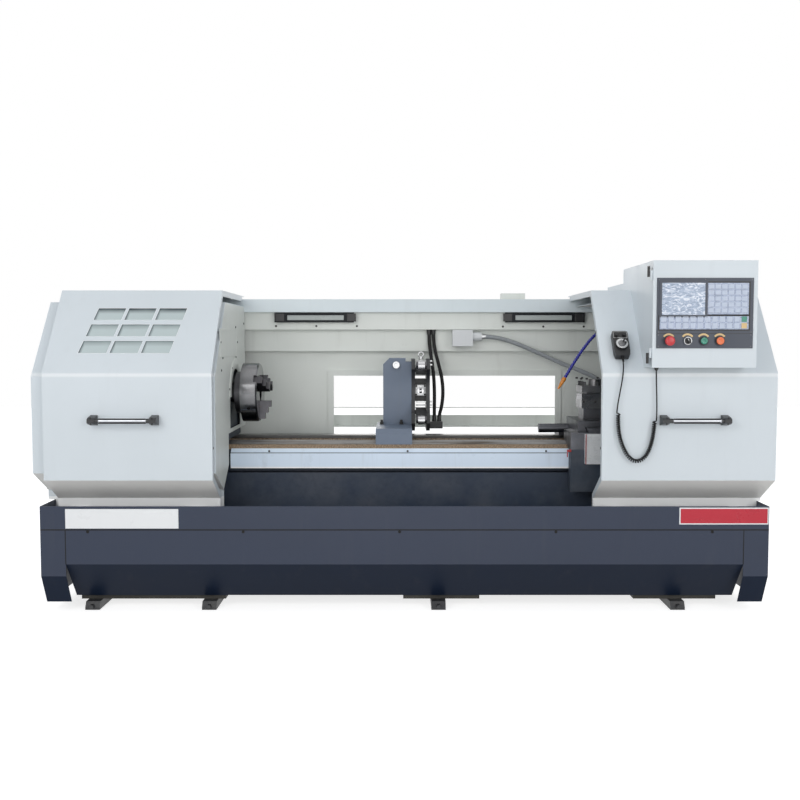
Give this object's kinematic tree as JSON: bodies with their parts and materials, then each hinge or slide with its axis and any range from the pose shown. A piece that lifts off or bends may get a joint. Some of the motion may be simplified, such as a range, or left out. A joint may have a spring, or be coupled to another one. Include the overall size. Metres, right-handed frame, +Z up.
{
  "type": "cnc turning lathe",
  "caption": "Flat-bed CNC turning lathe with two sliding front doors, chuck, self-centring steady rest, carriage with tool turret, tailstock and an operator panel.",
  "frame": {"origin": "on the floor, under the middle of the machine", "axes": "+X along the bed from headstock to tailstock, the operator at -Y, +Z up"},
  "size_m": [3.608, 1.6, 1.716],
  "materials": {
    "white_sheet": "satin",
    "pale_sheet": "satin",
    "navy_sheet": "satin",
    "base_grey": "satin",
    "light_blue": "satin",
    "steel_blue": "satin",
    "black_paint": "satin",
    "cast_bed": "satin",
    "steel": "satin",
    "dark_steel": "satin",
    "bright_ribs": "satin",
    "rubber": "matt",
    "grey_conduit": "matt",
    "blue_hose": "gloss",
    "clear_pane": "gloss",
    "panel_black": "matt",
    "red_plastic": "gloss",
    "green_plastic": "gloss",
    "orange_plastic": "gloss",
    "black_plastic": "gloss",
    "grey_box": "matt",
    "lamp_case": "satin"
  },
  "bodies": {
    "frame": {"levelling_feet": "cast_bed", "pedestals": "base_grey", "base_tray": "navy_sheet", "base_skirts": "navy_sheet", "end_panels": "navy_sheet", "bed": "cast_bed", "screw_cover": "light_blue", "z_servo_motor": "black_paint", "headstock": "base_grey", "main_motor": "steel_blue", "headstock_cover": "white_sheet", "tailstock_cover": "white_sheet", "chuck_partition": "navy_sheet", "door_beam": "pale_sheet", "rear_guard": "pale_sheet", "work_lamps": "lamp_case", "junction_box": "grey_box", "conduit": "grey_conduit", "electrical_cabinet": "white_sheet", "drive_belt": "rubber", "steady_bracket": "steel_blue", "steady_body": "black_paint", "steady_hoses": "rubber"},
    "spindle": {"spindle": "steel", "spindle_pulley": "cast_bed", "chuck_body": "dark_steel"},
    "jaw_1": {"chuck_jaw_1": "steel"},
    "jaw_2": {"chuck_jaw_2": "steel"},
    "jaw_3": {"chuck_jaw_3": "steel"},
    "motor_shaft": {"motor_pulley": "cast_bed"},
    "leadscrew": {"z_screw": "steel"},
    "carriage": {"saddle": "cast_bed", "apron": "base_grey", "cross_slide_cover": "bright_ribs", "coolant_hose": "blue_hose"},
    "cross_slide": {"cross_slide": "cast_bed"},
    "turret": {"tool_turret": "dark_steel"},
    "tailstock": {"tailstock": "base_grey"},
    "quill": {"quill": "steel"},
    "handwheel": {"tailstock_handwheel": "steel"},
    "left_door": {"left_door": "white_sheet", "left_door_glass": "clear_pane", "left_door_handle": "steel"},
    "right_door": {"right_door": "white_sheet", "right_door_handle": "steel", "control_box": "white_sheet", "pendant": "grey_box", "pendant_cord": "rubber"},
    "panel_door": {"control_panel_door": "white_sheet", "control_panel": "panel_black"},
    "emergency_stop": {"emergency_stop": "red_plastic"},
    "start_button": {"start_button": "green_plastic"},
    "hold_button": {"hold_button": "orange_plastic"},
    "mode_selector": {"mode_selector": "black_plastic"},
    "pendant_dial": {"pendant_dial": "black_plastic"},
    "upper_arm": {"steady_upper_arm": "dark_steel"},
    "lower_arm": {"steady_lower_arm": "dark_steel"},
    "upper_roller": {"steady_upper_roller": "steel"},
    "lower_roller": {"steady_lower_roller": "steel"},
    "plunger": {"steady_plunger": "steel"}
  },
  "joints": [
    {"name": "spindle_spin", "type": "hinge", "parent": "frame", "child": "spindle", "pos_m": [-1, -0.01, 1.065], "axis": [1, 0, 0], "continuous": true},
    {"name": "jaw_1_slide", "type": "slide", "parent": "spindle", "child": "jaw_1", "axis": [0, 0.866, 0.5], "range_m": [-0.03, 0.012]},
    {"name": "jaw_2_slide", "type": "slide", "parent": "spindle", "child": "jaw_2", "axis": [0, -0.866, 0.5], "range_m": [-0.03, 0.012]},
    {"name": "jaw_3_slide", "type": "slide", "parent": "spindle", "child": "jaw_3", "axis": [0, 0, -1], "range_m": [-0.03, 0.012]},
    {"name": "motor_spin", "type": "hinge", "parent": "frame", "child": "motor_shaft", "pos_m": [-1.6, 0.04, 0.25], "axis": [1, 0, 0], "continuous": true},
    {"name": "carriage_slide", "type": "slide", "parent": "frame", "child": "carriage", "axis": [1, 0, 0], "range_m": [-0.6, 0.02], "deforming": ["conduit"]},
    {"name": "z_screw_spin", "type": "hinge", "parent": "frame", "child": "leadscrew", "pos_m": [0.4, -0.178, 0.712], "axis": [1, 0, 0], "continuous": true},
    {"name": "cross_slide_travel", "type": "slide", "parent": "carriage", "child": "cross_slide", "axis": [0, 1, 0], "range_m": [-0.12, 0.11]},
    {"name": "turret_spin", "type": "hinge", "parent": "cross_slide", "child": "turret", "pos_m": [1.03, -0.062, 1.05], "axis": [0, 0, 1], "continuous": true},
    {"name": "tailstock_slide", "type": "slide", "parent": "frame", "child": "tailstock", "axis": [1, 0, 0], "range_m": [-0.1, 0]},
    {"name": "handwheel_spin", "type": "hinge", "parent": "tailstock", "child": "handwheel", "pos_m": [1.62, -0.01, 1.065], "axis": [1, 0, 0], "range_deg": [0, 5760]},
    {"name": "quill_slide", "type": "slide", "parent": "tailstock", "child": "quill", "axis": [-1, 0, 0], "range_m": [0, 0.081]},
    {"name": "left_door_slide", "type": "slide", "parent": "frame", "child": "left_door", "axis": [1, 0, 0], "range_m": [0, 0.93]},
    {"name": "right_door_slide", "type": "slide", "parent": "frame", "child": "right_door", "axis": [-1, 0, 0], "range_m": [0, 0.94]},
    {"name": "panel_door_hinge", "type": "hinge", "parent": "right_door", "child": "panel_door", "pos_m": [1.148, -0.752, 1.467], "axis": [0, 0, -1], "range_deg": [0, 110]},
    {"name": "stop_press", "type": "slide", "parent": "panel_door", "child": "emergency_stop", "axis": [0, 1, 0], "range_m": [0, 0.005], "stiffness_N_per_m": 1500},
    {"name": "start_press", "type": "slide", "parent": "panel_door", "child": "start_button", "axis": [0, 1, 0], "range_m": [0, 0.004], "stiffness_N_per_m": 800},
    {"name": "hold_press", "type": "slide", "parent": "panel_door", "child": "hold_button", "axis": [0, 1, 0], "range_m": [0, 0.004], "stiffness_N_per_m": 800},
    {"name": "mode_turn", "type": "hinge", "parent": "panel_door", "child": "mode_selector", "pos_m": [1.317, -0.78, 1.344], "axis": [0, 1, 0], "range_deg": [0, 60]},
    {"name": "dial_spin", "type": "hinge", "parent": "right_door", "child": "pendant_dial", "pos_m": [1.054, -0.5825, 1.32816], "axis": [0, -0.797, 0.604], "continuous": true},
    {"name": "upper_arm_swing", "type": "hinge", "parent": "frame", "child": "upper_arm", "pos_m": [0.0975, 0.11, 1.183], "axis": [1, 0, 0], "range_deg": [0, 30]},
    {"name": "lower_arm_swing", "type": "hinge", "parent": "frame", "child": "lower_arm", "pos_m": [0.0975, 0.11, 0.947], "axis": [-1, 0, 0], "range_deg": [0, 30]},
    {"name": "plunger_slide", "type": "slide", "parent": "frame", "child": "plunger", "axis": [0, -1, 0], "range_m": [0, 0.09]},
    {"name": "upper_roller_spin", "type": "hinge", "parent": "upper_arm", "child": "upper_roller", "pos_m": [0.0975, -0.08, 1.211], "axis": [1, 0, 0], "continuous": true},
    {"name": "lower_roller_spin", "type": "hinge", "parent": "lower_arm", "child": "lower_roller", "pos_m": [0.0975, -0.08, 0.919], "axis": [1, 0, 0], "continuous": true}
  ],
  "couplings": [
    {"joint": "jaw_2_slide", "follows": "jaw_1_slide", "ratio": 1},
    {"joint": "jaw_3_slide", "follows": "jaw_1_slide", "ratio": 1},
    {"joint": "motor_spin", "follows": "spindle_spin", "ratio": 1.6829},
    {"joint": "z_screw_spin", "follows": "carriage_slide", "rad_per_m": 628.32},
    {"joint": "quill_slide", "follows": "handwheel_spin", "m_per_rad": 0.00079577},
    {"joint": "lower_arm_swing", "follows": "upper_arm_swing", "ratio": 1},
    {"joint": "plunger_slide", "follows": "upper_arm_swing", "m_per_rad": 0.1713}
  ]
}
